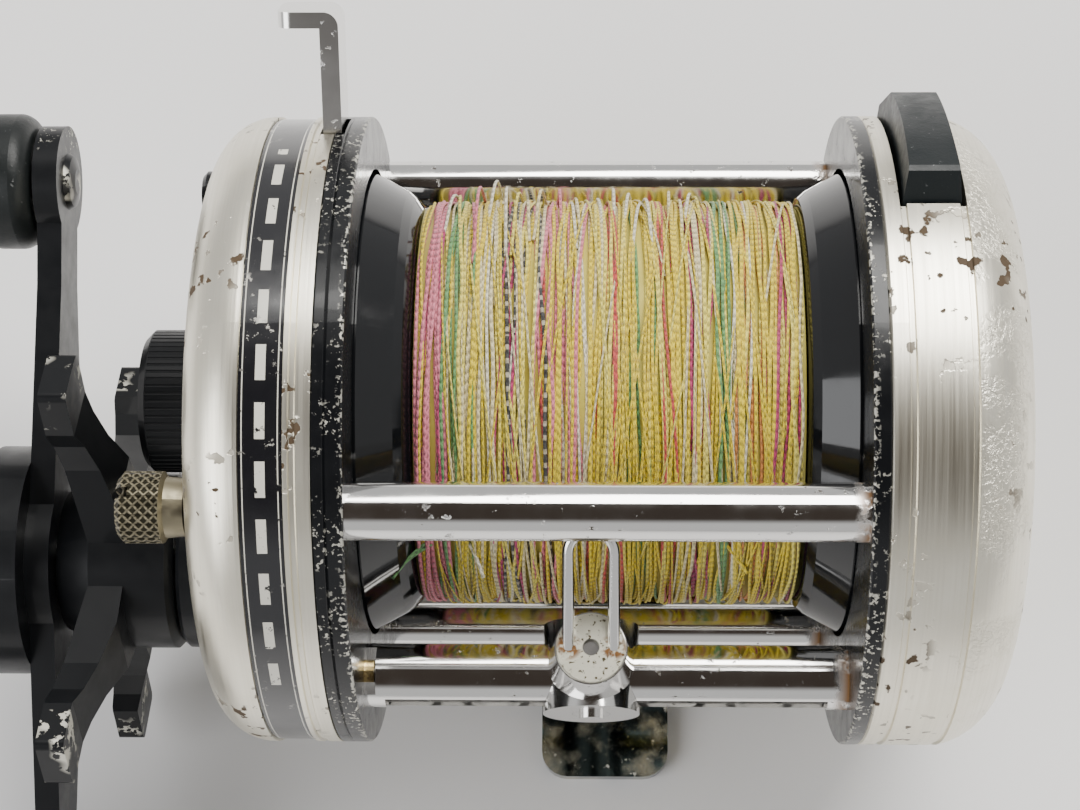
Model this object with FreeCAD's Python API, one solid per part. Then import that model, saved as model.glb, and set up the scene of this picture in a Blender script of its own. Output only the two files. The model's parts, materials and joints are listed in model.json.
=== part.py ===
import FreeCAD, Part
import math
import os

# Baitcasting reel, millimetres. +X is the palm side, -X the handle side,
# -Y the front where the line leaves, +Z up. Z = 0 is the underside of the reel foot.

V = FreeCAD.Vector
os.makedirs("parts", exist_ok=True)

# ---------------------------------------------------------------- driving sizes
ZC = 31.5                      # height of the frame ring centre
R_RING = 29.0                  # outside radius of rings and cups
X_IN = 21.4                    # inner face of each frame ring
X_OUT = 22.9                   # outer face of each frame ring
X_PLATE = 24.0                 # outer face of the gear plate
SPOOL = (2.4, ZC + 0.8)        # spool axis (y, z)
DRIVE = (-11.2, ZC - 6.2)      # handle shaft axis
TUBE = (-23.7, ZC + 1.7)       # level-wind axis
X_GEAR_FACE = -35.2            # end face of the gear side cup
X_PALM_FACE = 35.3             # highest ring of the palm side cup
R_FLANGE = 21.2
R_LINE = 18.7
LINE_X = (-16.8, 17.2)
R_SHAFT = 1.5
TEETH_MAIN = 52
TEETH_PINION = 11
TEETH_SPOOL = 12
TEETH_IDLER = 55
TEETH_WORM = 13
M_WIND = 0.4                   # module of the level-wind gears
WORM_PITCH = 8.0
ARM = 36.0                     # handle shaft to knob centre
ARM_TILT = 18.0                # the handle arm dips this much to the front at rest
STAR_TIP = 24.2
STAR_DEG = 28.0                # first star arm at rest, from up towards the rear
LEVER_DEG = 52.0               # clutch lever direction, from up towards the rear
BUTTON_DEG = 44.0              # release button direction, from up towards the rear
PILLAR_R = 2.45
PILLARS = {"pillar_front": (-14.0, ZC + 22.1), "pillar_lower_front": (-13.9, ZC - 22.2),
           "pillar_lower_rear": (13.9, ZC - 22.2), "pillar_rear": (26.1, ZC - 3.2)}
CARRIAGE_X = -1.3              # centre of the line guide at rest
RUN = 0.05                     # radial running clearance


# ---------------------------------------------------------------- small tools
def cyl(x0, x1, r, at):
    return Part.makeCylinder(r, x1 - x0, V(x0, at[0], at[1]), V(1, 0, 0))


def tube(x0, x1, r_out, r_in, at):
    return cyl(x0, x1, r_out, at).cut(cyl(x0 - 1, x1 + 1, r_in, at))


def slab(x0, x1, y0, y1, z0, z1):
    return Part.makeBox(x1 - x0, y1 - y0, z1 - z0, V(x0, y0, z0))


def turned(points, at):
    """Revolve a closed outline about the X axis. A point given as (mid, end) is an arc."""
    edges = []
    first = V(points[0][0], 0, points[0][1])
    here = first
    for p in points[1:]:
        if isinstance(p[0], tuple):
            mid = V(p[0][0], 0, p[0][1])
            end = V(p[1][0], 0, p[1][1])
            edges.append(Part.Arc(here, mid, end).toShape())
        else:
            end = V(p[0], 0, p[1])
            edges.append(Part.makeLine(here, end))
        here = end
    edges.append(Part.makeLine(here, first))
    solid = Part.Face(Part.Wire(edges)).revolve(V(0, 0, 0), V(1, 0, 0), 360)
    solid.translate(V(0, at[0], at[1]))
    return solid


def prism_x(outline, x0, x1):
    """Extrude a closed (y, z) outline along X."""
    pts = [V(x0, y, z) for y, z in outline]
    return Part.Face(Part.makePolygon(pts + [pts[0]])).extrude(V(x1 - x0, 0, 0))


def polar(r, deg, at=(0.0, ZC)):
    """Point at radius r, deg measured from up towards the rear (+Y)."""
    a = math.radians(deg)
    return (at[0] + r * math.sin(a), at[1] + r * math.cos(a))


def turn_about(shape, at, deg):
    """Turn about X so that up moves towards the rear by deg."""
    shape.rotate(V(0, at[0], at[1]), V(1, 0, 0), -deg)
    return shape


def gear(teeth, module, x0, x1, at, bore, phase=0.0, shrink=0.06):
    """Involute spur gear. phase turns a tooth centre from up towards the rear, degrees."""
    rp = 0.5 * module * teeth
    rb = rp * math.cos(math.radians(20.0))
    ra = rp + 0.9 * module
    rf = rp - 1.15 * module
    inv20 = math.tan(math.radians(20.0)) - math.radians(20.0)
    half = math.pi / (2.0 * teeth) - shrink / (2.0 * rp)
    flank = []
    for i in range(6):
        r = max(rb, rf) + (ra - max(rb, rf)) * i / 5.0
        roll = math.acos(min(1.0, rb / r))
        a = half + inv20 - (math.tan(roll) - roll)
        flank.append((r, a))
    if rf < rb:
        flank.insert(0, (rf, flank[0][1]))
    outline = []
    for k in range(teeth):
        c = 2.0 * math.pi * k / teeth + math.radians(phase)
        ring = [(r, c - a) for r, a in flank] + [(r, c + a) for r, a in reversed(flank)]
        for r, a in ring:
            outline.append((at[0] + r * math.sin(a), at[1] + r * math.cos(a)))
    body = prism_x(outline, x0, x1)
    if bore > 0:
        body = body.cut(cyl(x0 - 1, x1 + 1, bore, at))
    return body


def angle_of(a, b):
    """Direction from a to b, degrees from up towards the rear."""
    return math.degrees(math.atan2(b[0] - a[0], b[1] - a[1]))


def distance(a, b):
    return math.hypot(b[0] - a[0], b[1] - a[1])


def save(name, shape):
    solids = shape.Solids
    if not solids:
        raise ValueError(name + " has no solid")
    out = solids[0] if len(solids) == 1 else Part.makeCompound(solids)
    out.exportStep("parts/" + name + ".step")


def knurl(body, at, r, x0, x1, count, depth, half_width):
    """Cut straight grooves round a knob."""
    cuts = []
    for k in range(count):
        y, z = polar(r + half_width * 0.4, 360.0 * k / count, at)
        cuts.append(cyl(x0, x1, half_width, (y, z)))
    return body.cut(Part.makeCompound(cuts))


# ---------------------------------------------------------------- frame
def lever_slot(x0, x1):
    """Clearance for the clutch lever through a rim."""
    y, z = 0.0, ZC
    return turn_about(slab(x0, x1, y - 3.05, y + 3.05, z + 15.0, z + 32.0), (0.0, ZC), LEVER_DEG)


def frame_ring(side):
    x0 = X_IN if side > 0 else -X_OUT
    x1 = X_OUT if side > 0 else -X_IN
    c = 0.15
    outline = [(x0, 0.0), (x0, R_RING - c), (x0 + c, R_RING), (x1 - c, R_RING), (x1, R_RING - c), (x1, 0.0)]
    ring = turned(outline, (0.0, ZC))
    ring = ring.cut(cyl(x0 - 1, x1 + 1, R_FLANGE + 0.5, SPOOL))
    for at in PILLARS.values():
        ring = ring.cut(cyl(x0 - 1, x1 + 1, 1.5, at))
    return ring.cut(cyl(x0 - 1, x1 + 1, 2.85, TUBE))


def pillar(at):
    mid = cyl(-X_IN, X_IN, PILLAR_R, at)
    return mid.fuse(cyl(-X_OUT, X_OUT, 1.5, at)).removeSplitter()


def reel_foot():
    """Cast foot: flat underside, thin ends, raised saddle under the two lower pillars."""
    half, t, top = 28.0, 1.9, ZC - 22.2 - 1.9
    side = [(-half, 0.0), (-half, t), (-20.8, t + 0.3), (-17.0, top), (17.0, top), (20.8, t + 0.3), (half, t),
            (half, 0.0)]
    body = prism_x(side, -6.45, 6.45)
    plan = []
    for sx, sy in ((1, 1), (-1, 1), (-1, -1), (1, -1)):
        for i in range(7):
            a = math.radians(90.0 * i / 6.0)
            dx, dy = (math.cos(a), math.sin(a)) if sx * sy > 0 else (math.sin(a), math.cos(a))
            plan.append(V(sx * (6.45 - 2.6 + 2.6 * dx), sy * (half - 2.6 + 2.6 * dy), -1))
    body = body.common(Part.Face(Part.makePolygon(plan + [plan[0]])).extrude(V(0, 0, 12)))
    for name in ("pillar_lower_front", "pillar_lower_rear"):
        body = body.cut(cyl(-9, 9, PILLAR_R, PILLARS[name]))
        for x in (-4.0, 4.0):
            body = body.cut(Part.makeCylinder(0.9, 12, V(x, PILLARS[name][0], -1), V(0, 0, 1)))
            body = body.cut(Part.makeCylinder(1.5, 1.61, V(x, PILLARS[name][0], -1), V(0, 0, 1)))
    return body


def foot_rivets():
    """Four rivets up through the foot into the lower pillars, countersunk below."""
    out = []
    for name in ("pillar_lower_front", "pillar_lower_rear"):
        y, z = PILLARS[name]
        for x in (-4.0, 4.0):
            pin = Part.makeCylinder(0.9, z - 2.0, V(x, y, 0.4), V(0, 0, 1))
            head = Part.makeCylinder(1.5, 0.6, V(x, y, 0.0), V(0, 0, 1))
            out.append(pin.fuse(head).removeSplitter())
    return out


def lower_pillar(at):
    body = pillar(at)
    for x in (-4.0, 4.0):
        body = body.cut(Part.makeCylinder(0.9, at[1] - 1.6, V(x, at[0], 0.0), V(0, 0, 1)))
    return body


# ---------------------------------------------------------------- level wind
def guard_tube():
    body = tube(-X_OUT, X_OUT, 2.85, 2.15, TUBE)
    slot = slab(-19.6, 19.6, TUBE[0] - 4.0, TUBE[0] - 0.8, TUBE[1] - 1.45, TUBE[1] + 1.45)
    notch = slab(-X_IN, -20.4, TUBE[0] - 3.2, TUBE[0] + 3.2, TUBE[1] + 1.9, TUBE[1] + 3.2)
    return body.cut(slot).cut(notch)


def bushing(side):
    x0, x1 = (20.6, 22.9) if side > 0 else (-22.9, -20.6)
    return tube(x0, x1, 2.15, 1.2 + RUN, TUBE)


def worm():
    """Crossed-thread shaft: a right-hand and a left-hand groove cut in one bar."""
    body = cyl(-20.2, 20.2, 1.85, TUBE)
    cuts = []
    for hand in (False, True):
        helix = Part.makeHelix(WORM_PITCH, 36.0, 1.75, 0, hand)
        start = helix.Vertexes[0].Point
        section = Part.makePolygon([V(start.x - 0.45, 0, -0.4), V(start.x + 0.4, 0, -0.45),
                                    V(start.x + 0.4, 0, 0.45), V(start.x - 0.45, 0, 0.4),
                                    V(start.x - 0.45, 0, -0.4)])
        sweep = Part.Wire(helix.Edges).makePipeShell([section], True, True)
        sweep.rotate(V(0, 0, 0), V(0, 1, 0), 90)
        sweep.translate(V(-18.0, TUBE[0], TUBE[1]))
        cuts.append(sweep)
    for c in cuts:
        body = body.cut(c)
    body = body.fuse(cyl(-23.0, -20.2, 1.2, TUBE)).fuse(cyl(20.2, 26.6, 1.2, TUBE))
    return body.removeSplitter()


def wind_gears():
    """Spool gear, idler and worm gear, in mesh at rest."""
    r_s = 0.5 * M_WIND * TEETH_SPOOL
    r_i = 0.5 * M_WIND * TEETH_IDLER
    r_w = 0.5 * M_WIND * TEETH_WORM
    d = distance(SPOOL, TUBE)
    a = r_s + r_i
    b = r_i + r_w
    along = (a * a - b * b + d * d) / (2.0 * d)
    off = math.sqrt(a * a - along * along)
    uy, uz = (TUBE[0] - SPOOL[0]) / d, (TUBE[1] - SPOOL[1]) / d
    idler_at = (SPOOL[0] + along * uy + off * uz, SPOOL[1] + along * uz - off * uy)
    if idler_at[1] > SPOOL[1]:
        idler_at = (SPOOL[0] + along * uy - off * uz, SPOOL[1] + along * uz + off * uy)
    to_idler = angle_of(SPOOL, idler_at)
    to_worm = angle_of(idler_at, TUBE)
    spool_g = gear(TEETH_SPOOL, M_WIND, 24.2, 26.2, SPOOL, R_SHAFT, to_idler)
    idler_phase = to_idler + 180.0 + 180.0 / TEETH_IDLER
    step = 360.0 / TEETH_IDLER
    idler = gear(TEETH_IDLER, M_WIND, 24.2, 26.2, idler_at, 1.0 + RUN, idler_phase)
    for k in range(5):
        y, z = polar(6.4, 72.0 * k, idler_at)
        idler = idler.cut(cyl(23, 27, 2.2, (y, z)))
    # the worm gear has a gap where the idler has a tooth, on the line of centres
    lead = ((to_worm - idler_phase) / step) % 1.0
    worm_step = 360.0 / TEETH_WORM
    worm_phase = to_worm + 180.0 + worm_step * (0.5 + lead)
    worm_g = gear(TEETH_WORM, M_WIND, 24.2, 26.2, TUBE, 1.2, worm_phase)
    return spool_g, idler, worm_g, idler_at


def idler_post(at):
    body = cyl(26.5, 33.6, 1.8, at).fuse(cyl(23.9, 26.5, 1.0, at)).fuse(cyl(23.4, 23.9, 1.7, at))
    return body.removeSplitter()


def carriage():
    """Barrel with a front-rear axis that slides on the guard tube, with a tapered boss on top."""
    x, (y, z) = CARRIAGE_X, TUBE
    y_front, y_rear = y - 3.4, y + 4.5
    barrel = Part.makeCylinder(4.3, y_rear - y_front, V(x, y_front, z), V(0, 1, 0))
    boss = Part.makeCone(3.85, 3.15, 6.6, V(x, y + 0.7, z + 2.3))
    body = barrel.fuse(boss).removeSplitter()
    body = body.cut(cyl(x - 6, x + 6, 2.85 + RUN, TUBE))
    body = body.cut(Part.makeCylinder(1.2 + RUN, 4.0, V(x, y - 3.5, z), V(0, 1, 0)))
    return body.cut(Part.makeCylinder(1.7, 0.85, V(x, y - 3.41, z), V(0, 1, 0)))


def pawl():
    """Follower pin: its tip stands just clear of the grooves so the guide can be posed alone."""
    x, (y, z) = CARRIAGE_X, TUBE
    return Part.makeCylinder(1.2, 0.45, V(x, y - 2.55, z), V(0, 1, 0)).fuse(
        slab(x - 0.45, x + 0.45, y - 2.5, y - 2.12, z - 1.0, z + 1.0)).removeSplitter()


def pawl_cap():
    x, (y, z) = CARRIAGE_X, TUBE
    body = Part.makeCylinder(1.68, 0.8, V(x, y - 3.4, z), V(0, 1, 0)).fuse(
        Part.makeCylinder(1.1, 0.5, V(x, y - 3.85, z), V(0, 1, 0)))
    return body.removeSplitter()


def guide_cap():
    """Round cap on the boss with a screw hole; the loop's legs are set into it."""
    x, (y, z) = CARRIAGE_X, (TUBE[0] + 0.7, TUBE[1] + 8.9)
    body = Part.makeCone(3.05, 2.95, 0.5, V(x, y, z))
    body = body.cut(Part.makeCylinder(0.7, 2.0, V(x, y, z - 0.5)))
    return body.cut(line_loop_solid())


def line_loop_solid():
    """Closed wire loop that leans back over the line."""
    x, (y, z) = CARRIAGE_X, (TUBE[0] + 0.7, TUBE[1] + 8.9)
    lean = math.radians(52.0)

    def at(side, along):
        return V(x + side, y + along * math.sin(lean), z + 0.15 + along * math.cos(lean))

    left, right = at(-1.95, 0.0), at(1.95, 0.0)
    shoulder_l, shoulder_r = at(-1.95, 9.0), at(1.95, 9.0)
    crown = Part.Arc(shoulder_r, at(0.0, 10.95), shoulder_l).toShape()
    spine = Part.Wire([Part.makeLine(right, shoulder_r), crown, Part.makeLine(shoulder_l, left)])
    ring = Part.Wire([Part.Circle(right, shoulder_r - right, 0.52).toShape()])
    return spine.makePipeShell([ring], True, False)


# ---------------------------------------------------------------- spool
def spool_body():
    def side(s, lx):
        rows = [(20.5, R_SHAFT), (20.5, 4.5), (18.6, 4.5), (18.6, 17.6), (20.6, 19.7), (22.3, 20.0),
                (22.3, R_FLANGE), (21.2, R_FLANGE), (18.2, 19.6), (17.5, 19.0)]
        return [(s * x, r) for x, r in rows] + [(lx, 18.2), (lx, 10.0)]
    left = side(-1, LINE_X[0])
    right = side(1, LINE_X[1])
    body = turned(left + right[::-1], SPOOL)
    for s in (-1, 1):
        x0, x1 = sorted((s * 1.5, s * 18.6))
        body = body.cut(tube(x0, x1, 8.8, 4.5, SPOOL))
    return body


def wound_line():
    """Full winding on the spool, its corners a little rounded off."""
    left, right = LINE_X
    shoulder = R_LINE - 0.55
    outline = [(left, 10.0), (left, shoulder), (left + 0.8, R_LINE), (right - 0.8, R_LINE), (right, shoulder),
               (right, 10.0)]
    return turned(outline, SPOOL)


def spool_shaft():
    return cyl(-40.6, 32.8, R_SHAFT, SPOOL).cut(clutch_pin())


def clutch_pin():
    y, z = SPOOL
    return Part.makeCylinder(0.5, 5.2, V(-24.75, y - 2.6, z), V(0, 1, 0))


def pinion(to_drive):
    m = 2.0 * distance(SPOOL, DRIVE) / (TEETH_MAIN + TEETH_PINION)
    r_root = 0.5 * m * TEETH_PINION - 1.15 * m
    body = gear(TEETH_PINION, m, -29.5, -26.2, SPOOL, 0, to_drive)
    body = body.fuse(cyl(-26.2, -24.25, 3.0, SPOOL)).fuse(cyl(-31.6, -29.5, r_root, SPOOL))
    body = body.fuse(cyl(-32.4, -31.6, 2.9, SPOOL)).cut(cyl(-33, -24, R_SHAFT + RUN, SPOOL))
    y, z = SPOOL
    return body.cut(slab(-25.6, -24.0, y - 3.2, y + 3.2, z - 0.8, z + 0.8)).removeSplitter()


def yoke_posts_at():
    a = angle_of(SPOOL, DRIVE)
    return [polar(8.2, a + 90.0, SPOOL), polar(8.2, a - 90.0, SPOOL)]


def yoke():
    """Fork plate that carries the pinion along its posts."""
    a = angle_of(SPOOL, DRIVE)
    m = 2.0 * distance(SPOOL, DRIVE) / (TEETH_MAIN + TEETH_PINION)
    neck = 0.5 * m * TEETH_PINION - 1.15 * m
    y, z = SPOOL
    plate = slab(-31.4, -30.5, y - 10.0, y + 10.0, z - 2.0, z + 3.4)
    plate = plate.cut(cyl(-33, -29, neck + 0.1, SPOOL))
    plate = plate.cut(slab(-33, -29, y - neck - 0.1, y + neck + 0.1, z - 6, z))
    body = turn_about(plate, SPOOL, a + 180.0)
    for at in yoke_posts_at():
        body = body.cut(cyl(-33, -29, 0.75 + RUN, at))
    return body


def brake_pins():
    y, z = SPOOL
    hub = tube(28.6, 30.2, 2.6, R_SHAFT, SPOOL)
    pins = Part.makeCylinder(0.5, 12.6, V(29.4, y, z - 6.3), V(0, 0, 1)).cut(cyl(28, 32, 1.6, SPOOL))
    return hub.fuse(pins).removeSplitter()


def brake_block(sign):
    y, z = SPOOL
    low = z + 4.4 if sign > 0 else z - 6.4
    body = Part.makeCylinder(1.4, 2.0, V(29.4, y, low), V(0, 0, 1))
    return body.cut(Part.makeCylinder(0.5 + RUN, 4.0, V(29.4, y, low - 1), V(0, 0, 1)))


def click_ratchet():
    outline = []
    count = 24
    for k in range(count):
        for f, r in ((0.0, 4.5), (0.30, 5.2), (0.70, 5.2)):
            outline.append(polar(r, 360.0 * (k + f) / count, SPOOL))
    return prism_x(outline, 26.8, 27.6).cut(cyl(26, 28, R_SHAFT, SPOOL))


# ---------------------------------------------------------------- gear side
def gear_plate():
    c = 0.15
    body = turned([(-X_PLATE, 0), (-X_PLATE, R_RING - c), (-X_PLATE + c, R_RING), (-X_OUT - c, R_RING),
                   (-X_OUT, R_RING - c), (-X_OUT, 0)], (0.0, ZC))
    body = body.cut(cyl(-25, -22, 3.4, SPOOL)).cut(cyl(-25, -22, 1.5 + RUN, DRIVE))
    body = body.cut(cyl(-25, -22, 1.6, TUBE))
    for y, z in yoke_posts_at() + [dog_pivot()]:
        body = body.cut(cyl(-25, -22, 0.75, (y, z)))
    for at in thumb_at():
        body = body.cut(cyl(-25, -22, 1.2, at))
    return body.cut(lever_slot(-25.0, -23.1))


def gear_cup():
    outer = [(-X_PLATE, 0), (-X_PLATE, R_RING), (-25.2, R_RING), (-25.35, 28.75), (-25.75, 28.75),
             (-25.85, R_RING), (-26.25, R_RING), (-26.25, 28.55), (-29.95, 28.55), (-29.95, R_RING),
             (-30.3, R_RING),
             ((-33.75, 27.55), (X_GEAR_FACE, 24.1)), (X_GEAR_FACE, 0)]
    body = turned(outer, (0.0, ZC))
    inner = [(-23.0, 0), (-23.0, 27.6), (-30.2, 27.6), ((-32.9, 26.5), (-34.0, 23.8)), (-34.0, 0)]
    body = body.cut(turned(inner, (0.0, ZC)))
    body = body.fuse(cyl(-39.8, -34.6, 5.5, SPOOL))
    body = body.cut(cyl(-41, -30, 2.0, SPOOL)).cut(cyl(-40, -36.6, 4.0, SPOOL))
    body = body.cut(cyl(-36, -30, 5.4, DRIVE))
    for at in thumb_at():
        body = body.cut(cyl(-40, -30, 1.3, at))
    return body.cut(lever_slot(-25.35, -23.9)).removeSplitter()


def decal_band():
    return turned([(-29.9, 28.55), (-29.9, 28.78), (-26.3, 28.78), (-26.3, 28.55)], (0.0, ZC))


def shaft_sleeve():
    """Black bearing sleeve of the handle shaft, flanged against the cup."""
    prof = [(-39.4, 4.2 + RUN), (-39.4, 7.9), (-39.05, 8.2), (-35.25, 8.2), (-35.25, 5.35), (-32.9, 5.35),
            (-32.9, 4.2 + RUN)]
    return turned(prof, DRIVE)


def thumb_at():
    """Take-apart thumbscrew towards the top front, then two plain side screws."""
    return [polar(22.6, d) for d in (-34.5, 82.0, 196.0)]


def thumbscrew():
    at = thumb_at()[0]
    head = turned([(-40.9, 0), (-40.9, 2.5), (-40.4, 3.05), (-37.2, 3.05), (-36.9, 2.6), (-35.25, 2.45),
                   (-35.25, 1.2), (-23.3, 1.2), (-23.3, 0)], at)
    head = knurl(head, at, 3.05, -41.0, -37.3, 24, 0.2, 0.22)
    slot = slab(-42, -39.8, at[0] - 4, at[0] + 4, at[1] - 0.45, at[1] + 0.45)
    return head.cut(turn_about(slot, at, 100.0))


def side_screws():
    """Low black screws, slotted, at the other two places."""
    out = []
    for i, at in enumerate(thumb_at()[1:]):
        head = turned([(-38.4, 0), (-38.4, 1.9), (-38.0, 2.3), (-35.25, 2.3), (-35.25, 1.2), (-23.3, 1.2),
                       (-23.3, 0)], at)
        slot = slab(-39, -37.7, at[0] - 4, at[0] + 4, at[1] - 0.35, at[1] + 0.35)
        out.append(head.cut(turn_about(slot, at, (20.0, 60.0)[i])))
    return out


def main_gear(to_pinion):
    m = 2.0 * distance(SPOOL, DRIVE) / (TEETH_MAIN + TEETH_PINION)
    body = gear(TEETH_MAIN, m, -29.2, -27.6, DRIVE, 3.0, to_pinion + 180.0 / TEETH_MAIN)
    return body.cut(tube(-28.2, -27.4, 10.6, 5.0, DRIVE))


def drag_stack():
    """Drag washer pressed between the main gear and a steel pressure washer."""
    washer = tube(-29.7, -29.2, 9.4, 3.02, DRIVE)
    plate = tube(-30.3, -29.7, 9.4, 3.02, DRIVE)
    cone = [(-31.3, 3.3), (-31.3, 4.4), (-30.3, 6.6), (-30.3, 5.8), (-30.9, 4.2), (-30.9, 3.3)]
    springs = turned(cone, DRIVE)
    return washer, plate, springs


def ratchet_wheel():
    outline = []
    count = 16
    for k in range(count):
        outline.append(polar(8.0, 360.0 * k / count, DRIVE))
        outline.append(polar(8.0, 360.0 * (k + 0.25) / count, DRIVE))
        outline.append(polar(6.9, 360.0 * (k + 0.35) / count, DRIVE))
        outline.append(polar(6.9, 360.0 * (k + 0.9) / count, DRIVE))
    return prism_x(outline, -25.6, -24.7).cut(cyl(-27, -23, 3.0, DRIVE))


def drive_shaft():
    body = cyl(-51.1, -24.3, 3.0, DRIVE).fuse(cyl(-53.4, -51.1, 2.5, DRIVE))
    return body.fuse(cyl(-56.6, -53.4, 2.0, DRIVE)).fuse(cyl(-24.3, -23.1, 1.5, DRIVE)).removeSplitter()


def dog_pivot():
    return (DRIVE[0] + 11.6, DRIVE[1] - 7.4)


def reverse_dog():
    """Short bar on its own pivot, tip resting a hair off the ratchet wheel."""
    p = dog_pivot()
    a = angle_of(p, DRIVE)
    bar = slab(-25.6, -24.7, p[0] - 1.1, p[0] + 1.1, p[1] - 1.4, p[1] + 5.3)
    return turn_about(bar, p, a).cut(cyl(-27, -23, 0.75 + RUN, p))


def clutch_lever():
    """L-shaped strip: the stem slides in the rim, the tab is bent towards the handle."""
    z = ZC
    stem = slab(-25.0, -23.35, -2.75, 2.75, z + 22.0, z + 39.5)
    tab = slab(-28.7, -23.35, -2.75, 2.75, z + 38.1, z + 39.5)
    body = stem.fuse(tab).removeSplitter()
    picks = [e for e in body.Edges if abs(e.BoundBox.XMin + 23.35) < 0.01 and e.BoundBox.YLength > 5
             and e.BoundBox.ZMin > z + 38]
    body = body.makeFillet(1.3, picks) if picks else body
    corners = [e for e in body.Edges if e.BoundBox.XMax < -28.6 and e.BoundBox.ZLength > 1.2]
    body = body.makeFillet(1.2, corners) if corners else body
    return turn_about(body, (0.0, ZC), LEVER_DEG)


def tension_cap():
    prof = [(-35.5, 5.5 + RUN), (-35.5, 6.55), (-36.0, 6.7), (-42.1, 6.7), (-42.8, 6.0), (-42.8, 0),
            (-41.1, 0), (-41.1, 5.5 + RUN)]
    return knurl(turned(prof, SPOOL), SPOOL, 6.7, -42.0, -36.1, 60, 0.15, 0.16)


def ball_bearing(x0, x1):
    """Two races with a ring of balls, one node."""
    w = x1 - x0
    outer = tube(x0, x1, 4.0, 3.25, SPOOL)
    inner = tube(x0, x1, 2.25, R_SHAFT + RUN, SPOOL)
    balls = []
    for k in range(8):
        y, z = polar(2.75, 45.0 * k, SPOOL)
        balls.append(Part.makeSphere(0.52, V(x0 + 0.5 * w, y, z)))
    return [outer, inner] + balls


# ---------------------------------------------------------------- handle and star drag
def star_wheel():
    """Four bent arms on a hub that turns about the drag sleeve."""
    hub = turned([(-50.7, 4.3), (-50.7, 6.6), (-47.4, 8.3), (-40.4, 8.3), (-39.7, 7.6), (-39.7, 4.3)], DRIVE)
    side = [(-44.2, 7.0), (-47.4, 7.0), (-49.4, 19.0), (-49.4, STAR_TIP), (-46.9, STAR_TIP), (-46.9, 19.4),
            (-44.3, 10.5)]
    plan = [(-4.6, 6.0), (-2.3, 14.5), (-2.3, 17.5), (-2.9, 19.5), (-2.9, STAR_TIP + 1), (2.9, STAR_TIP + 1),
            (2.9, 19.5), (2.3, 17.5), (2.3, 14.5), (4.6, 6.0)]
    y, z = DRIVE
    pts = [V(x, y - 6, z + r) for x, r in side]
    arm = Part.Face(Part.makePolygon(pts + [pts[0]])).extrude(V(0, 12, 0))
    arm = arm.common(prism_x([(y + a, z + r) for a, r in plan], -52, -39))
    edges = [e for e in arm.Edges if e.BoundBox.ZMin > z + STAR_TIP - 0.1 and e.BoundBox.YLength < 0.1]
    arm = arm.makeFillet(0.7, edges) if edges else arm
    body = hub
    for k in range(4):
        body = body.fuse(turn_about(arm.copy(), DRIVE, STAR_DEG + 90.0 * k))
    return body.removeSplitter()


def drag_sleeve():
    return tube(-48.8, -31.6, 4.2, 3.02, DRIVE)


def handle_arm():
    """Flat double arm with round ends for the knob spindles."""
    y, z = DRIVE
    x0, x1 = -53.4, -51.1
    body = cyl(x0, x1, 8.0, DRIVE)
    for s in (-1, 1):
        outline = [(y - 6.5, z), (y - 3.15, z + s * 26.0), (y - 3.15, z + s * ARM), (y + 3.15, z + s * ARM),
                   (y + 3.15, z + s * 26.0), (y + 6.5, z)]
        body = body.fuse(prism_x(outline, x0, x1)).fuse(cyl(x0, x1, 5.25, (y, z + s * ARM)))
    body = body.cut(cyl(x0 - 1, x1 + 1, 2.5, DRIVE))
    for s in (-1, 1):
        body = body.cut(cyl(x0 - 1, x1 + 1, 1.5, (y, z + s * ARM)))
    body = body.removeSplitter()
    return turn_about(body, DRIVE, 90.0 - ARM_TILT)


def knob_at(s):
    return polar(s * ARM, 90.0 - ARM_TILT, DRIVE)


def knob_spindle(s):
    """Riveted through the arm, with a domed head on the inner side and an end flange in the knob."""
    prof = [(-65.0, 0), (-65.0, 2.6), (-64.3, 2.6), (-64.3, 1.5), (-51.1, 1.5), (-51.1, 2.7), (-50.6, 2.4),
            (-50.3, 1.2), (-50.3, 0)]
    return turned(prof, knob_at(s))


def knob(s):
    bore = 1.5 + RUN
    prof = [(-53.75, bore), (-53.75, 4.4), ((-54.15, 5.7), (-55.4, 6.4)), (-57.6, 6.4), (-59.4, 5.7),
            (-61.9, 5.6), (-64.4, 6.3), ((-66.8, 5.6), (-67.8, 3.3)), (-67.8, 2.9), (-64.0, 2.9), (-64.0, bore)]
    return turned(prof, knob_at(s))


def handle_nut():
    outline = [polar(3.6, 60.0 * k, DRIVE) for k in range(6)]
    return prism_x(outline, -55.8, -53.4).cut(cyl(-58, -52, 2.0, DRIVE))


def nut_cap():
    """Wide bevelled cover over the handle nut."""
    prof = [(-58.5, 0), (-58.5, 9.4), (-57.2, 10.8), (-53.4, 10.8), (-53.4, 4.2), (-57.0, 4.2), (-57.0, 0)]
    return turned(prof, DRIVE)


# ---------------------------------------------------------------- palm side
def button_window(x0, x1, half, z0, z1):
    return turn_about(slab(x0, x1, -half, half, ZC + z0, ZC + z1), (0.0, ZC), BUTTON_DEG)


CLICK_AT = (-9.75, ZC + 5.25)
CLICK_TRAVEL = 2.5


def click_slot(r, x0, x1):
    a = angle_of(CLICK_AT, SPOOL)
    end = polar(CLICK_TRAVEL, a, CLICK_AT)
    bar = turn_about(slab(x0, x1, CLICK_AT[0] - r, CLICK_AT[0] + r, CLICK_AT[1], CLICK_AT[1] + CLICK_TRAVEL),
                     CLICK_AT, a)
    return bar.fuse(cyl(x0, x1, r, CLICK_AT)).fuse(cyl(x0, x1, r, end))


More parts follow.
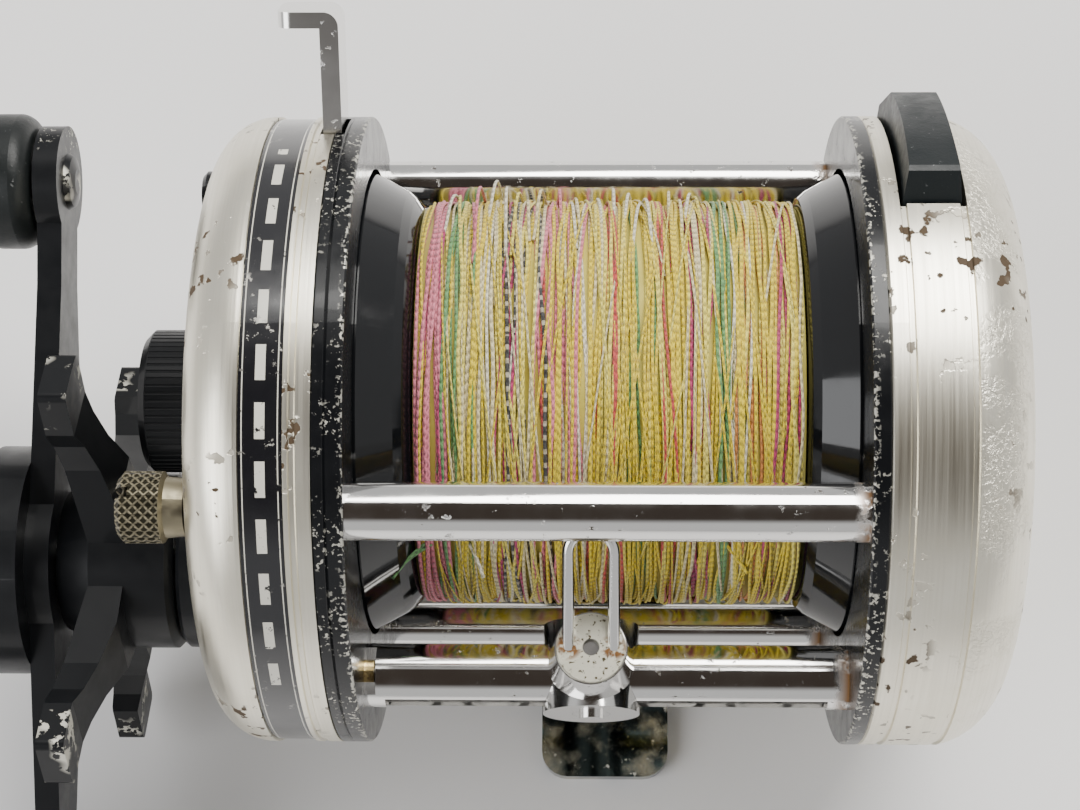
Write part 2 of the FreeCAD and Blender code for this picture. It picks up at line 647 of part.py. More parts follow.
def palm_cup():
    outer = [(X_OUT, 0), (X_OUT, 28.85), (X_OUT + 0.15, R_RING), (24.35, R_RING), (24.45, 28.75),
             (24.85, 28.75), (24.95, R_RING), (29.35, R_RING), (29.45, 28.75), (29.85, 28.75), (29.95, R_RING),
             ((33.9, 26.6), (X_PALM_FACE, 21.0)), ((35.2, 18.8), (34.8, 16.6)), (34.8, 0)]
    inner = [(22.0, 0), (22.0, 27.7), (29.7, 27.7), ((32.4, 25.5), (33.6, 20.2)), (33.6, 0)]
    body = turned(outer, (0.0, ZC)).cut(turned(inner, (0.0, ZC)))
    body = body.fuse(tube(31.0, 34.2, 4.9, 4.0, SPOOL))
    body = body.cut(button_window(24.35, 29.9, 10.3, 22.0, 34.0))
    body = body.cut(click_slot(1.75, 33.0, 37.0))
    return body.removeSplitter()


def release_button():
    """Thumb button through the rim: arched face, bevelled rear end, wider flange inside."""
    z = ZC
    main = slab(24.65, 29.6, -9.9, 9.9, z + 20, z + 34).common(cyl(20, 32, 31.7, (0.0, ZC)))
    bevel = prism_x([(4.6, z + 31.6), (10.6, z + 27.9), (12, z + 36), (4.6, z + 36)], 20, 32)
    front = prism_x([(-8.8, z + 30.9), (-10.2, z + 29.6), (-12, z + 36), (-8.8, z + 36)], 20, 32)
    main = main.cut(bevel).cut(front)
    for s, x in ((-1, 24.65), (1, 29.6)):
        wedge = Part.makePolygon([V(x - s * 0.55, -12, z + 33), V(x - s * 0.55, -12, z + 29.0 + 2.9),
                                  V(x + s * 0.05, -12, z + 26.5), V(x + s * 2, -12, z + 33),
                                  V(x - s * 0.55, -12, z + 33)])
        main = main.cut(Part.Face(wedge).extrude(V(0, 24, 0)))
    flange = slab(24.65, 29.3, -11.4, 11.4, z + 20, z + 34).common(cyl(20, 32, 27.3, (0.0, ZC)))
    body = main.fuse(flange).cut(cyl(20, 32, 25.7, (0.0, ZC))).removeSplitter()
    return turn_about(body, (0.0, ZC), BUTTON_DEG)


def brake_drum():
    return tube(28.0, 33.6, 7.8, 7.0, SPOOL)


def click_button():
    """Domed slide button on the palm face, with its neck through the slot."""
    dome = [(35.0, 0), (35.0, 2.1), (35.3, 2.1), ((36.05, 1.5), (36.35, 0.0001)), (36.35, 0)]
    head = turned(dome, CLICK_AT)
    return head.fuse(cyl(27.7, 35.1, 1.5, CLICK_AT)).removeSplitter()


def click_pawl():
    a = angle_of(CLICK_AT, SPOOL)
    y, z = CLICK_AT
    outline = [(y - 1.5, z - 1.5), (y + 1.5, z - 1.5), (y + 1.1, z + 3.4), (y, z + 5.05), (y - 1.1, z + 3.4)]
    return turn_about(prism_x(outline, 26.9, 27.7), CLICK_AT, a)


# ---------------------------------------------------------------- write every node
def main():
    save("frame_ring_gear", frame_ring(-1))
    save("frame_ring_palm", frame_ring(1))
    save("pillar_front", pillar(PILLARS["pillar_front"]))
    save("pillar_rear", pillar(PILLARS["pillar_rear"]))
    lower = [lower_pillar(PILLARS["pillar_lower_front"]), lower_pillar(PILLARS["pillar_lower_rear"])]
    save("lower_pillars", Part.makeCompound(lower))
    save("reel_foot", reel_foot())
    save("foot_rivets", Part.makeCompound(foot_rivets()))
    save("guard_tube", guard_tube())
    save("worm_bushings", Part.makeCompound([bushing(-1), bushing(1)]))
    save("worm_shaft", worm())
    spool_g, idler, worm_g, idler_at = wind_gears()
    save("spool_gear", spool_g)
    save("idler_gear", idler)
    save("worm_gear", worm_g)
    save("idler_post", idler_post(idler_at))
    save("carriage", carriage())
    save("pawl", pawl())
    save("pawl_cap", pawl_cap())
    save("guide_cap", guide_cap())
    save("line_loop", line_loop_solid())
    save("spool", spool_body())
    save("spool_shaft", spool_shaft())
    save("wound_line", wound_line())
    save("clutch_pin", clutch_pin())
    to_drive = angle_of(SPOOL, DRIVE)
    save("pinion", pinion(to_drive))
    save("main_gear", main_gear(to_drive + 180.0))
    save("clutch_yoke", yoke())
    posts = [cyl(-33.4, -22.9, 0.75, at) for at in yoke_posts_at()]
    posts.append(cyl(-26.0, -22.9, 0.75, dog_pivot()))
    save("plate_posts", Part.makeCompound(posts))
    save("brake_pins", brake_pins())
    save("brake_block_a", brake_block(1))
    save("brake_block_b", brake_block(-1))
    save("click_ratchet", click_ratchet())
    save("gear_plate", gear_plate())
    save("gear_cup", gear_cup())
    save("decal_band", decal_band())
    save("shaft_sleeve", shaft_sleeve())
    save("thumbscrew", thumbscrew())
    save("side_screws", Part.makeCompound(side_screws()))
    washer, plate, springs = drag_stack()
    save("drag_washer", washer)
    save("pressure_washer", plate)
    save("spring_washer", springs)
    save("drag_sleeve", drag_sleeve())
    save("ratchet_wheel", ratchet_wheel())
    save("drive_shaft", drive_shaft())
    save("reverse_dog", reverse_dog())
    save("clutch_lever", clutch_lever())
    save("tension_cap", tension_cap())
    save("bearing_gear_side", Part.makeCompound(ball_bearing(-39.3, -36.9)))
    save("bearing_palm_side", Part.makeCompound(ball_bearing(31.1, 33.5)))
    save("star_wheel", star_wheel())
    save("handle_arm", handle_arm())
    save("handle_nut", handle_nut())
    save("nut_cap", nut_cap())
    save("knob_rear", knob(1))
    save("knob_front", knob(-1))
    save("knob_spindles", Part.makeCompound([knob_spindle(1), knob_spindle(-1)]))
    save("palm_cup", palm_cup())
    save("release_button", release_button())
    save("brake_drum", brake_drum())
    save("click_button", click_button())
    save("click_pawl", click_pawl())


main()
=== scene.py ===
import json
import math
import random
import bpy
from mathutils import Matrix, Vector


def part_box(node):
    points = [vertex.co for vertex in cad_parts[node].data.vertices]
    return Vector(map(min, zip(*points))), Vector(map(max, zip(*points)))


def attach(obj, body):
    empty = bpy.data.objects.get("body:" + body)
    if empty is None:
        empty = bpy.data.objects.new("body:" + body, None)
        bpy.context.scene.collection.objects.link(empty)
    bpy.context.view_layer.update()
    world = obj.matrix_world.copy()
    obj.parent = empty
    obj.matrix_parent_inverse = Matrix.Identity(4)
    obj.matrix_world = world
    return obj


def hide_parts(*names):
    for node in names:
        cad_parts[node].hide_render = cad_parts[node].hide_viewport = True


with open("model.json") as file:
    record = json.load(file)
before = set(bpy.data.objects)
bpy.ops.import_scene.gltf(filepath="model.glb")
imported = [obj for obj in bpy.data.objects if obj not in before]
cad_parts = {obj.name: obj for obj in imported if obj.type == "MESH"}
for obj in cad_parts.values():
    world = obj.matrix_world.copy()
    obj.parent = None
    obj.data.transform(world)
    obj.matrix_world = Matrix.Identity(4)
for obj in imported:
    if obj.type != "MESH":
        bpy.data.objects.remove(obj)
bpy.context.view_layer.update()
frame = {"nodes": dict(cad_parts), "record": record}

# Sizes are in metres. X runs along the spool axis from the handle to the palm side, +Y is the rear, Z is up.
ZC = 0.0315                          # height of the side ring centre
SPOOL_Y, SPOOL_Z = 0.0024, 0.0323    # spool axis
DRIVE_Y, DRIVE_Z = -0.0112, 0.0253   # handle axis
THUMB_Y, THUMB_Z = -0.0128, 0.05013  # thumbscrew axis
LINE_R = 0.0187                      # outside radius of the winding
LINE_X = (-0.0166, 0.0170)           # its two ends
BAND_X = -0.0281                     # middle of the black band
PALM_FACE_X = 0.0297                 # where the pitted skin of the palm cup begins
RUST_X = 0.0200                      # where rust begins on the plated bars
KNURL_X = -0.0372                    # the thumbscrew is knurled further out than this
WIRE_FOOT = 0.00195                  # wire feet of the line loop, either side of its screw
PALE_PAINT = (0.66, 0.64, 0.56)      # bare metal and print, seen against black
DEEP_BLACK = (0.005, 0.0055, 0.0065)
BAND_BLACK = (0.008, 0.008, 0.01)
PHASE = 6.28                         # upper end of a drawn phase, about one turn
SIDES = 6                            # flats round a strand
CORE_STEPS = 96
rng = random.Random(7)


# ------------------------------------------------------------ shader helpers
def new_material(name, colour, metallic, roughness, coat=0.0):
    m = bpy.data.materials.new(name)
    m.use_nodes = True
    tree = m.node_tree
    bsdf = tree.nodes["Principled BSDF"]
    bsdf.inputs["Base Color"].default_value = (*colour, 1.0)
    bsdf.inputs["Metallic"].default_value = metallic
    bsdf.inputs["Roughness"].default_value = roughness
    bsdf.inputs["Coat Weight"].default_value = coat
    bsdf.inputs["Coat Roughness"].default_value = 0.12
    m.diffuse_color = (*colour, 1.0)
    return m, tree, bsdf


def plug(tree, socket, value):
    if isinstance(value, bpy.types.NodeSocket):
        tree.links.new(value, socket)
    else:
        socket.default_value = value


def place(tree, stretch=(1.0, 1.0, 1.0)):
    """Object coordinates in metres, stretched per axis."""
    tc = tree.nodes.new("ShaderNodeTexCoord")
    mp = tree.nodes.new("ShaderNodeMapping")
    mp.inputs["Scale"].default_value = stretch
    tree.links.new(tc.outputs["Object"], mp.inputs["Vector"])
    return mp.outputs["Vector"]


def noise(tree, scale, detail=4.0, stretch=(1.0, 1.0, 1.0), rough=0.6):
    n = tree.nodes.new("ShaderNodeTexNoise")
    n.inputs["Scale"].default_value = scale
    n.inputs["Detail"].default_value = detail
    n.inputs["Roughness"].default_value = rough
    tree.links.new(place(tree, stretch), n.inputs["Vector"])
    return n.outputs["Fac"]


def ramp(tree, value, low, high, out_low=0.0, out_high=1.0):
    n = tree.nodes.new("ShaderNodeMapRange")
    plug(tree, n.inputs["Value"], value)
    n.inputs["From Min"].default_value = low
    n.inputs["From Max"].default_value = high
    n.inputs["To Min"].default_value = out_low
    n.inputs["To Max"].default_value = out_high
    return n.outputs["Result"]


def calc(tree, kind, a, b=0.0):
    n = tree.nodes.new("ShaderNodeMath")
    n.operation = kind
    plug(tree, n.inputs[0], a)
    plug(tree, n.inputs[1], b)
    return n.outputs[0]


def mix(tree, fac, a, b):
    n = tree.nodes.new("ShaderNodeMix")
    n.data_type = "RGBA"
    plug(tree, n.inputs[0], fac)
    plug(tree, n.inputs[6], a if isinstance(a, bpy.types.NodeSocket) else (*a, 1.0))
    plug(tree, n.inputs[7], b if isinstance(b, bpy.types.NodeSocket) else (*b, 1.0))
    return n.outputs[2]


def axes(tree):
    s = tree.nodes.new("ShaderNodeSeparateXYZ")
    tree.links.new(place(tree), s.inputs[0])
    return s.outputs[0], s.outputs[1], s.outputs[2]


def hypot(tree, a, b):
    """Length of the hypotenuse over a and b."""
    squares = calc(tree, "ADD", calc(tree, "MULTIPLY", a, a), calc(tree, "MULTIPLY", b, b))
    return calc(tree, "SQRT", squares)


def radius_from(tree, y0, z0):
    """Distance from an axis parallel to X."""
    _, y, z = axes(tree)
    return hypot(tree, calc(tree, "SUBTRACT", y, y0), calc(tree, "SUBTRACT", z, z0))


def bump(tree, bsdf, height, distance):
    n = tree.nodes.new("ShaderNodeBump")
    n.inputs["Strength"].default_value = 1.0
    n.inputs["Distance"].default_value = distance
    plug(tree, n.inputs["Height"], height)
    tree.links.new(n.outputs["Normal"], bsdf.inputs["Normal"])


# ------------------------------------------------------------ materials
def satin_aluminium():
    """Brushed round the X axis, with cloudy tone, brown pits and a rough skin at the palm end."""
    m, t, b = new_material("satin_aluminium", (0.74, 0.73, 0.69), 1.0, 0.34)
    brushed = noise(t, 60.0, 6.0, (60.0, 0.7, 0.7))
    cloud = noise(t, 130.0, 3.0)
    pits = noise(t, 620.0, 3.0, rough=0.5)
    where = ramp(t, noise(t, 90.0, 2.0), 0.46, 0.58)
    spot = calc(t, "MULTIPLY", ramp(t, pits, 0.605, 0.630), where)
    x, _, _ = axes(t)
    palm_end = ramp(t, x, PALM_FACE_X, PALM_FACE_X + 0.0006)
    pitted = calc(t, "MULTIPLY", palm_end, ramp(t, noise(t, 150.0, 2.0), 0.44, 0.60))
    worn = mix(t, ramp(t, cloud, 0.35, 0.7), (0.93, 0.89, 0.77), (0.82, 0.77, 0.63))
    tone = mix(t, ramp(t, brushed, 0.3, 0.7), worn, (0.80, 0.76, 0.64))
    plug(t, b.inputs["Base Color"], mix(t, spot, tone, (0.07, 0.042, 0.018)))
    plug(t, b.inputs["Metallic"], calc(t, "SUBTRACT", 1.0, spot))
    sheen = ramp(t, brushed, 0.2, 0.8, 0.25, 0.44)
    plug(t, b.inputs["Roughness"], calc(t, "ADD", sheen, calc(t, "MULTIPLY", spot, 0.4)))
    rough_skin = calc(t, "MULTIPLY", pitted, ramp(t, noise(t, 2200.0, 3.0), 0.45, 0.6, 0.0, 0.6))
    height = calc(t, "SUBTRACT", calc(t, "SUBTRACT", calc(t, "MULTIPLY", brushed, 0.10), spot), rough_skin)
    bump(t, b, height, 0.00010)
    return m


def chrome():
    """Bright plating with crack-like pits, rusty at the palm end."""
    m, t, b = new_material("chrome", (0.80, 0.79, 0.77), 1.0, 0.10)
    pits = ramp(t, noise(t, 900.0, 5.0, rough=0.7), 0.635, 0.665)
    where = ramp(t, noise(t, 110.0, 2.0), 0.50, 0.62)
    spot = calc(t, "MULTIPLY", pits, where)
    x, _, _ = axes(t)
    palm_end = ramp(t, x, RUST_X, RUST_X + 0.0013)
    rust = calc(t, "MULTIPLY", palm_end, ramp(t, noise(t, 500.0), 0.42, 0.55))
    colour = mix(t, spot, (0.80, 0.79, 0.77), (0.06, 0.05, 0.035))
    plug(t, b.inputs["Base Color"], mix(t, rust, colour, (0.26, 0.13, 0.045)))
    both = calc(t, "MAXIMUM", spot, rust)
    plug(t, b.inputs["Metallic"], calc(t, "SUBTRACT", 1.0, both))
    haze = ramp(t, noise(t, 260.0), 0.3, 0.7, 0.06, 0.17)
    plug(t, b.inputs["Roughness"], calc(t, "ADD", haze, calc(t, "MULTIPLY", both, 0.5)))
    bump(t, b, calc(t, "MULTIPLY", both, -1.0), 0.00006)
    return m


def black_paint(name, edge, roughness, chip_low, grain=2300.0, gloss=0.15, specular=0.32, inner_edge=None):
    """Black enamel. edge is (axis y, axis z, radius): the paint is chipped outside that radius.
    inner_edge is a distance from X = 0 where chips crowd into a line."""
    m, t, b = new_material(name, DEEP_BLACK, 0.0, roughness, gloss)
    b.inputs["Specular IOR Level"].default_value = specular
    b.inputs["Coat Roughness"].default_value = 0.04
    r = radius_from(t, edge[0], edge[1])
    rim = ramp(t, r, edge[2], edge[2] + 0.0003)
    flakes = noise(t, grain, 4.0, rough=0.6)
    groups = ramp(t, noise(t, 190.0, 2.0), 0.48, 0.58)
    if inner_edge is not None:
        x, _, _ = axes(t)
        near = ramp(t, calc(t, "ABSOLUTE", x), inner_edge + 0.0006, inner_edge + 0.0001)
        flakes = calc(t, "ADD", flakes, calc(t, "MULTIPLY", near, 0.07))
        groups = calc(t, "MAXIMUM", groups, calc(t, "MULTIPLY", near, 0.9))
    chips = ramp(t, flakes, chip_low, chip_low + 0.02)
    bare = calc(t, "MULTIPLY", calc(t, "MULTIPLY", chips, groups), rim)
    scuff = ramp(t, noise(t, 400.0, 5.0), 0.3, 0.75, max(roughness - 0.05, 0.03), roughness + 0.10)
    plug(t, b.inputs["Base Color"], mix(t, bare, DEEP_BLACK, PALE_PAINT))
    plug(t, b.inputs["Metallic"], calc(t, "MULTIPLY", bare, 0.8))
    plug(t, b.inputs["Roughness"], calc(t, "ADD", scuff, calc(t, "MULTIPLY", bare, 0.2)))
    bump(t, b, calc(t, "MULTIPLY", bare, -1.0), 0.00005)
    return m


def band():
    """Glossy black band with plain pinstripes, a row of plain bars and scratches."""
    m, t, b = new_material("band_black", BAND_BLACK, 0.0, 0.16, 0.6)
    x, y, z = axes(t)
    off = calc(t, "ABSOLUTE", calc(t, "SUBTRACT", x, BAND_X))
    stripe = calc(t, "MULTIPLY", calc(t, "GREATER_THAN", off, 0.00142), calc(t, "LESS_THAN", off, 0.00152))
    angle = calc(t, "ARCTAN2", y, calc(t, "SUBTRACT", z, ZC))
    saw = calc(t, "FRACT", calc(t, "MULTIPLY", angle, 6.0))
    bars = calc(t, "MULTIPLY", calc(t, "LESS_THAN", saw, 0.62), calc(t, "LESS_THAN", off, 0.00042))
    part = calc(t, "LESS_THAN", calc(t, "ABSOLUTE", calc(t, "ADD", angle, 0.25)), 0.95)
    mark = calc(t, "MAXIMUM", stripe, calc(t, "MULTIPLY", bars, part))
    worn = ramp(t, noise(t, 1100.0, 5.0, rough=0.7), 0.60, 0.63)
    clean = calc(t, "SUBTRACT", 1.0, worn)
    mark = calc(t, "MULTIPLY", mark, clean)
    scratch = calc(t, "MULTIPLY", worn, ramp(t, noise(t, 140.0), 0.54, 0.62))
    base = mix(t, mark, BAND_BLACK, PALE_PAINT)
    plug(t, b.inputs["Base Color"], mix(t, scratch, base, (0.50, 0.48, 0.43)))
    plug(t, b.inputs["Roughness"], ramp(t, noise(t, 350.0), 0.3, 0.7, 0.12, 0.26))
    return m


def plastic(name, colour, roughness):
    m, t, b = new_material(name, colour, 0.0, roughness)
    b.inputs["Specular IOR Level"].default_value = 0.3
    scuff = ramp(t, noise(t, 1500.0, 5.0, rough=0.7), 0.66, 0.69)
    light = tuple(min(1.0, c + 0.22) for c in colour)
    plug(t, b.inputs["Base Color"], mix(t, calc(t, "MULTIPLY", scuff, 0.5), colour, light))
    plug(t, b.inputs["Roughness"], ramp(t, noise(t, 500.0), 0.3, 0.7, roughness - 0.1, roughness + 0.1))
    bump(t, b, noise(t, 3000.0), 0.00002)
    return m


def plain_metal(name, colour, roughness):
    m, t, b = new_material(name, colour, 1.0, roughness)
    grime = ramp(t, noise(t, 700.0, 5.0), 0.52, 0.66)
    dirty = tuple(c * 0.3 for c in colour)
    plug(t, b.inputs["Base Color"], mix(t, calc(t, "MULTIPLY", grime, 0.6), colour, dirty))
    plug(t, b.inputs["Roughness"], ramp(t, grime, 0.0, 1.0, roughness, roughness + 0.25))
    return m


def knurled(name, colour):
    """Tarnished brass with a diamond knurl round the thumbscrew's axis; the knurl's valleys carry painted
    shade.
    """
    m, t, b = new_material(name, colour, 1.0, 0.4)
    x, y, z = axes(t)
    angle = calc(t, "ARCTAN2", calc(t, "SUBTRACT", y, THUMB_Y), calc(t, "SUBTRACT", z, THUMB_Z))
    turn = calc(t, "MULTIPLY", angle, 22.0)
    climb = calc(t, "MULTIPLY", x, 7200.0)
    peaks = calc(t, "MAXIMUM", calc(t, "SINE", calc(t, "ADD", turn, climb)),
                 calc(t, "SINE", calc(t, "SUBTRACT", turn, climb)))
    knurl_part = calc(t, "LESS_THAN", x, KNURL_X)
    # painted shade: the knurl's valleys are coloured near black, and the same mask sets the bump depth
    valley_depth_and_shade = calc(t, "MULTIPLY", ramp(t, peaks, 0.9, 0.3), knurl_part)
    plug(t, b.inputs["Base Color"], mix(t, valley_depth_and_shade, colour, (0.035, 0.032, 0.022)))
    plug(t, b.inputs["Roughness"], ramp(t, noise(t, 900.0), 0.3, 0.7, 0.3, 0.55))
    bump(t, b, calc(t, "MULTIPLY", valley_depth_and_shade, -1.0), 0.00018)
    return m


def dark_plate():
    """Tarnished dark plating with cloudy paler patches."""
    m, t, b = new_material("dark_plate", (0.10, 0.12, 0.12), 1.0, 0.12)
    cloud = ramp(t, noise(t, 210.0, 4.0, rough=0.65), 0.47, 0.66)
    speck = ramp(t, noise(t, 1500.0, 4.0), 0.64, 0.67)
    tone = mix(t, cloud, (0.050, 0.068, 0.068), (0.50, 0.48, 0.38))
    plug(t, b.inputs["Base Color"], mix(t, speck, tone, (0.62, 0.61, 0.55)))
    plug(t, b.inputs["Roughness"], ramp(t, cloud, 0.0, 1.0, 0.08, 0.24))
    return m


def pitted_cap(middle_x, middle_y):
    """Dull plated disc: painted shade for the screw hole, rust round the two wire feet, small dark pits."""
    m, t, b = new_material("pitted_cap", (0.62, 0.60, 0.50), 1.0, 0.30)
    x, y, _ = axes(t)
    dx = calc(t, "SUBTRACT", x, middle_x)
    dy = calc(t, "SUBTRACT", y, middle_y)
    from_hole = hypot(t, dx, dy)
    from_foot = hypot(t, calc(t, "SUBTRACT", calc(t, "ABSOLUTE", dx), WIRE_FOOT), dy)
    rust = calc(t, "MULTIPLY", ramp(t, from_foot, 0.0013, 0.0008), ramp(t, noise(t, 1300.0), 0.40, 0.52))
    pits = ramp(t, noise(t, 2400.0, 4.0), 0.60, 0.63)
    tone = mix(t, pits, (0.66, 0.64, 0.53), (0.12, 0.10, 0.06))
    tone = mix(t, rust, tone, (0.22, 0.10, 0.03))
    # painted shade: a near-black disc where the screw hole is, also made dull and non-metallic
    hole = ramp(t, from_hole, 0.00078, 0.00066)
    plug(t, b.inputs["Base Color"], mix(t, hole, tone, (0.012, 0.010, 0.008)))
    dull = calc(t, "MAXIMUM", hole, rust)
    plug(t, b.inputs["Metallic"], calc(t, "SUBTRACT", 1.0, dull))
    plug(t, b.inputs["Roughness"], ramp(t, dull, 0.0, 1.0, 0.30, 0.85))
    bump(t, b, calc(t, "MULTIPLY", pits, -1.0), 0.00005)
    return m


def braid(name, colour, fleck=None):
    """Braided line: crossing diagonals along the strand, from its own UV in metres; the hollows between
    crossings carry painted shade.
    """
    m, t, b = new_material(name, colour, 0.0, 0.62)
    tc = t.nodes.new("ShaderNodeTexCoord")
    s = t.nodes.new("ShaderNodeSeparateXYZ")
    t.links.new(tc.outputs["UV"], s.inputs[0])
    along = calc(t, "MULTIPLY", s.outputs[0], 7600.0)
    round_it = calc(t, "MULTIPLY", s.outputs[1], 6.2832 * 2.0)
    one = calc(t, "SINE", calc(t, "ADD", along, round_it))
    two = calc(t, "SINE", calc(t, "SUBTRACT", along, round_it))
    weave = calc(t, "MAXIMUM", one, two)
    # painted shade: the low parts of the weave are coloured darker than the crossings
    dark = tuple(c * 0.58 for c in colour)
    tone = mix(t, ramp(t, weave, -0.2, 0.9), dark, colour)
    faded = tuple(min(1.0, 0.85 * c + 0.08) for c in colour)
    tone = mix(t, ramp(t, noise(t, 170.0), 0.42, 0.7, 0.0, 0.35), tone, faded)
    if fleck is not None:
        wave = calc(t, "SINE", calc(t, "MULTIPLY", s.outputs[0], 5200.0))
        tone = mix(t, ramp(t, wave, 0.3, 0.5), tone, fleck)
    plug(t, b.inputs["Base Color"], tone)
    b.inputs["Sheen Weight"].default_value = 0.25
    bump(t, b, weave, 0.00004)
    return m


RING_EDGE = (0.0, ZC, 0.02870)
NO_CHIPS = (SPOOL_Y, SPOOL_Z, 0.0300)   # a radius outside the parts that use it
look = {
    "satin_aluminium": satin_aluminium(),
    "chrome": chrome(),
    "black_paint": black_paint("black_paint", RING_EDGE, 0.22, 0.59, inner_edge=0.0214),
    "spool_black": black_paint("spool_black", NO_CHIPS, 0.07, 0.60, gloss=0.25, specular=0.36),
    "band_black": band(),
    "knob_black": plastic("knob_black", (0.010, 0.012, 0.012), 0.40),
    "button_black": plastic("button_black", (0.008, 0.011, 0.012), 0.40),
    "drag_fibre": plastic("drag_fibre", (0.16, 0.11, 0.07), 0.7),
    "brake_fibre": plastic("brake_fibre", (0.35, 0.10, 0.07), 0.7),
    "steel": plain_metal("steel", (0.55, 0.55, 0.54), 0.28),
    "brass": plain_metal("brass", (0.68, 0.52, 0.24), 0.26),
    "knurled_brass": knurled("knurled_brass", (0.27, 0.24, 0.165)),
}
star_paint = black_paint("star_paint", (DRIVE_Y, DRIVE_Z, 0.0204), 0.34, 0.50, 900.0, specular=0.2)
arm_paint = black_paint("arm_paint", (DRIVE_Y, DRIVE_Z, 0.0385), 0.34, 0.60, specular=0.2)
cap_paint = black_paint("cap_paint", NO_CHIPS, 0.36, 0.60, specular=0.2)
worn_head = black_paint("worn_head", (DRIVE_Y, DRIVE_Z, 0.0340), 0.34, 0.46, 700.0, specular=0.2)
low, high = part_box("guide_cap")
middle_x, middle_y = 0.5 * (low[0] + high[0]), 0.5 * (low[1] + high[1])
special = {"star_wheel": star_paint, "handle_arm": arm_paint, "nut_cap": cap_paint, "shaft_sleeve": cap_paint,
           "tension_cap": cap_paint, "knob_spindles": worn_head, "reel_foot": dark_plate(),
           "guide_cap": pitted_cap(middle_x, middle_y)}
slots = {s["node"]: s["material_slot"] for s in frame["record"]["subparts"]}
for node, obj in frame["nodes"].items():
    chosen = special.get(node) or look.get(slots[node])
    if chosen is not None:
        obj.data.materials.clear()
        obj.data.materials.append(chosen)


# ------------------------------------------------------------ wound line
COLOURS = {
    "yellow": ((0.80, 0.61, 0.008), None),
    "pale": ((0.84, 0.71, 0.11), None),
    "cream": ((0.78, 0.68, 0.38), None),
    "pink": ((0.74, 0.20, 0.27), None),
    "magenta": ((0.46, 0.03, 0.13), None),
    "green": ((0.14, 0.34, 0.11), None),
    "red": ((0.55, 0.06, 0.05), None),
    "orange": ((0.76, 0.30, 0.07), None),
    "fleck": ((0.035, 0.035, 0.035), (0.42, 0.38, 0.28)),
    "white": ((0.80, 0.75, 0.58), None),
}
ORDER = list(COLOURS)
# colours to draw from in each stretch of the winding, from the handle end to the palm end
BANDS = [("pink", "pink", "magenta"), ("green", "pale", "cream"), ("yellow", "yellow", "white"),
         ("magenta", "fleck", "fleck"), ("pink", "red", "yellow"), ("yellow", "pink", "white"),
         ("cream", "pale", "red"), ("yellow", "yellow", "green"), ("red", "pale", "yellow"),
         ("yellow", "yellow", "magenta"), ("white", "green", "cream"), ("yellow", "yellow", "orange"),
         ("magenta", "yellow", "pale")]


class Strands:
    """Collects tubes with UVs in metres along each one."""

    def __init__(self):
        self.verts, self.faces, self.uvs, self.mats = [], [], [], []
        self.offset = random.Random(3)

    def tube(self, points, r, colour, closed=False):
        base = len(self.verts)
        count = len(points)
        begin = self.offset.uniform(0.0, 0.05)
        length = 0.0
        stations = []
        for i, p in enumerate(points):
            if i:
                length += (p - points[i - 1]).length
            stations.append(length)
            a = points[(i - 1) % count] if closed or i else p
            c = points[(i + 1) % count] if closed or i < count - 1 else p
            along = (c - a).normalized()
            out = Vector((0.0, p.y - SPOOL_Y, p.z - SPOOL_Z)).normalized()
            side = along.cross(out).normalized()
            out = side.cross(along).normalized()
            for k in range(SIDES):
                q = 2.0 * math.pi * k / SIDES
                self.verts.append(p + r * (math.cos(q) * side + math.sin(q) * out))
        rows = count if closed else count - 1
        for i in range(rows):
            j = (i + 1) % count
            u0 = begin + stations[i]
            u1 = begin + (stations[j] if j else length + (points[0] - points[-1]).length)
            here, there = base + i * SIDES, base + j * SIDES
            for k in range(SIDES):
                n = (k + 1) % SIDES
                self.faces.append((here + k, here + n, there + n, there + k))
                v0, v1 = k / SIDES, (k + 1) / SIDES
                self.uvs += [(u0, v0), (u0, v1), (u1, v1), (u1, v0)]
                self.mats.append(colour)
        if not closed:
            for ring, flip in ((0, True), (count - 1, False)):
                face = [base + ring * SIDES + k for k in range(SIDES)]
                self.faces.append(tuple(reversed(face)) if flip else tuple(face))
                self.uvs += [(stations[ring], 0.0)] * SIDES
                self.mats.append(colour)

    def build(self, name, mats):
        mesh = bpy.data.meshes.new(name)
        mesh.from_pydata([tuple(v) for v in self.verts], [], self.faces)
        layer = mesh.uv_layers.new(name="UVMap")
        for i, uv in enumerate(self.uvs):
            layer.data[i].uv = uv
        for m in mats:
            mesh.materials.append(m)
        for poly, colour in zip(mesh.polygons, self.mats):
            poly.material_index = colour
            poly.use_smooth = True
        obj = bpy.data.objects.new(name, mesh)
        bpy.context.scene.collection.objects.link(obj)
        return obj


def on_spool(x, angle, r):
    """angle is from up towards the front."""
    return Vector((x, SPOOL_Y - r * math.sin(angle), SPOOL_Z + r * math.cos(angle)))


def pick(x):
    """Colour index for a turn at x."""
    f = (x - LINE_X[0]) / (LINE_X[1] - LINE_X[0])
    group = BANDS[max(0, min(len(BANDS) - 1, int(f * len(BANDS) + rng.uniform(-0.35, 0.35))))]
    name = rng.choice(group) if rng.random() > 0.22 else rng.choice(("yellow", "pale", "cream"))
    return ORDER.index(name)


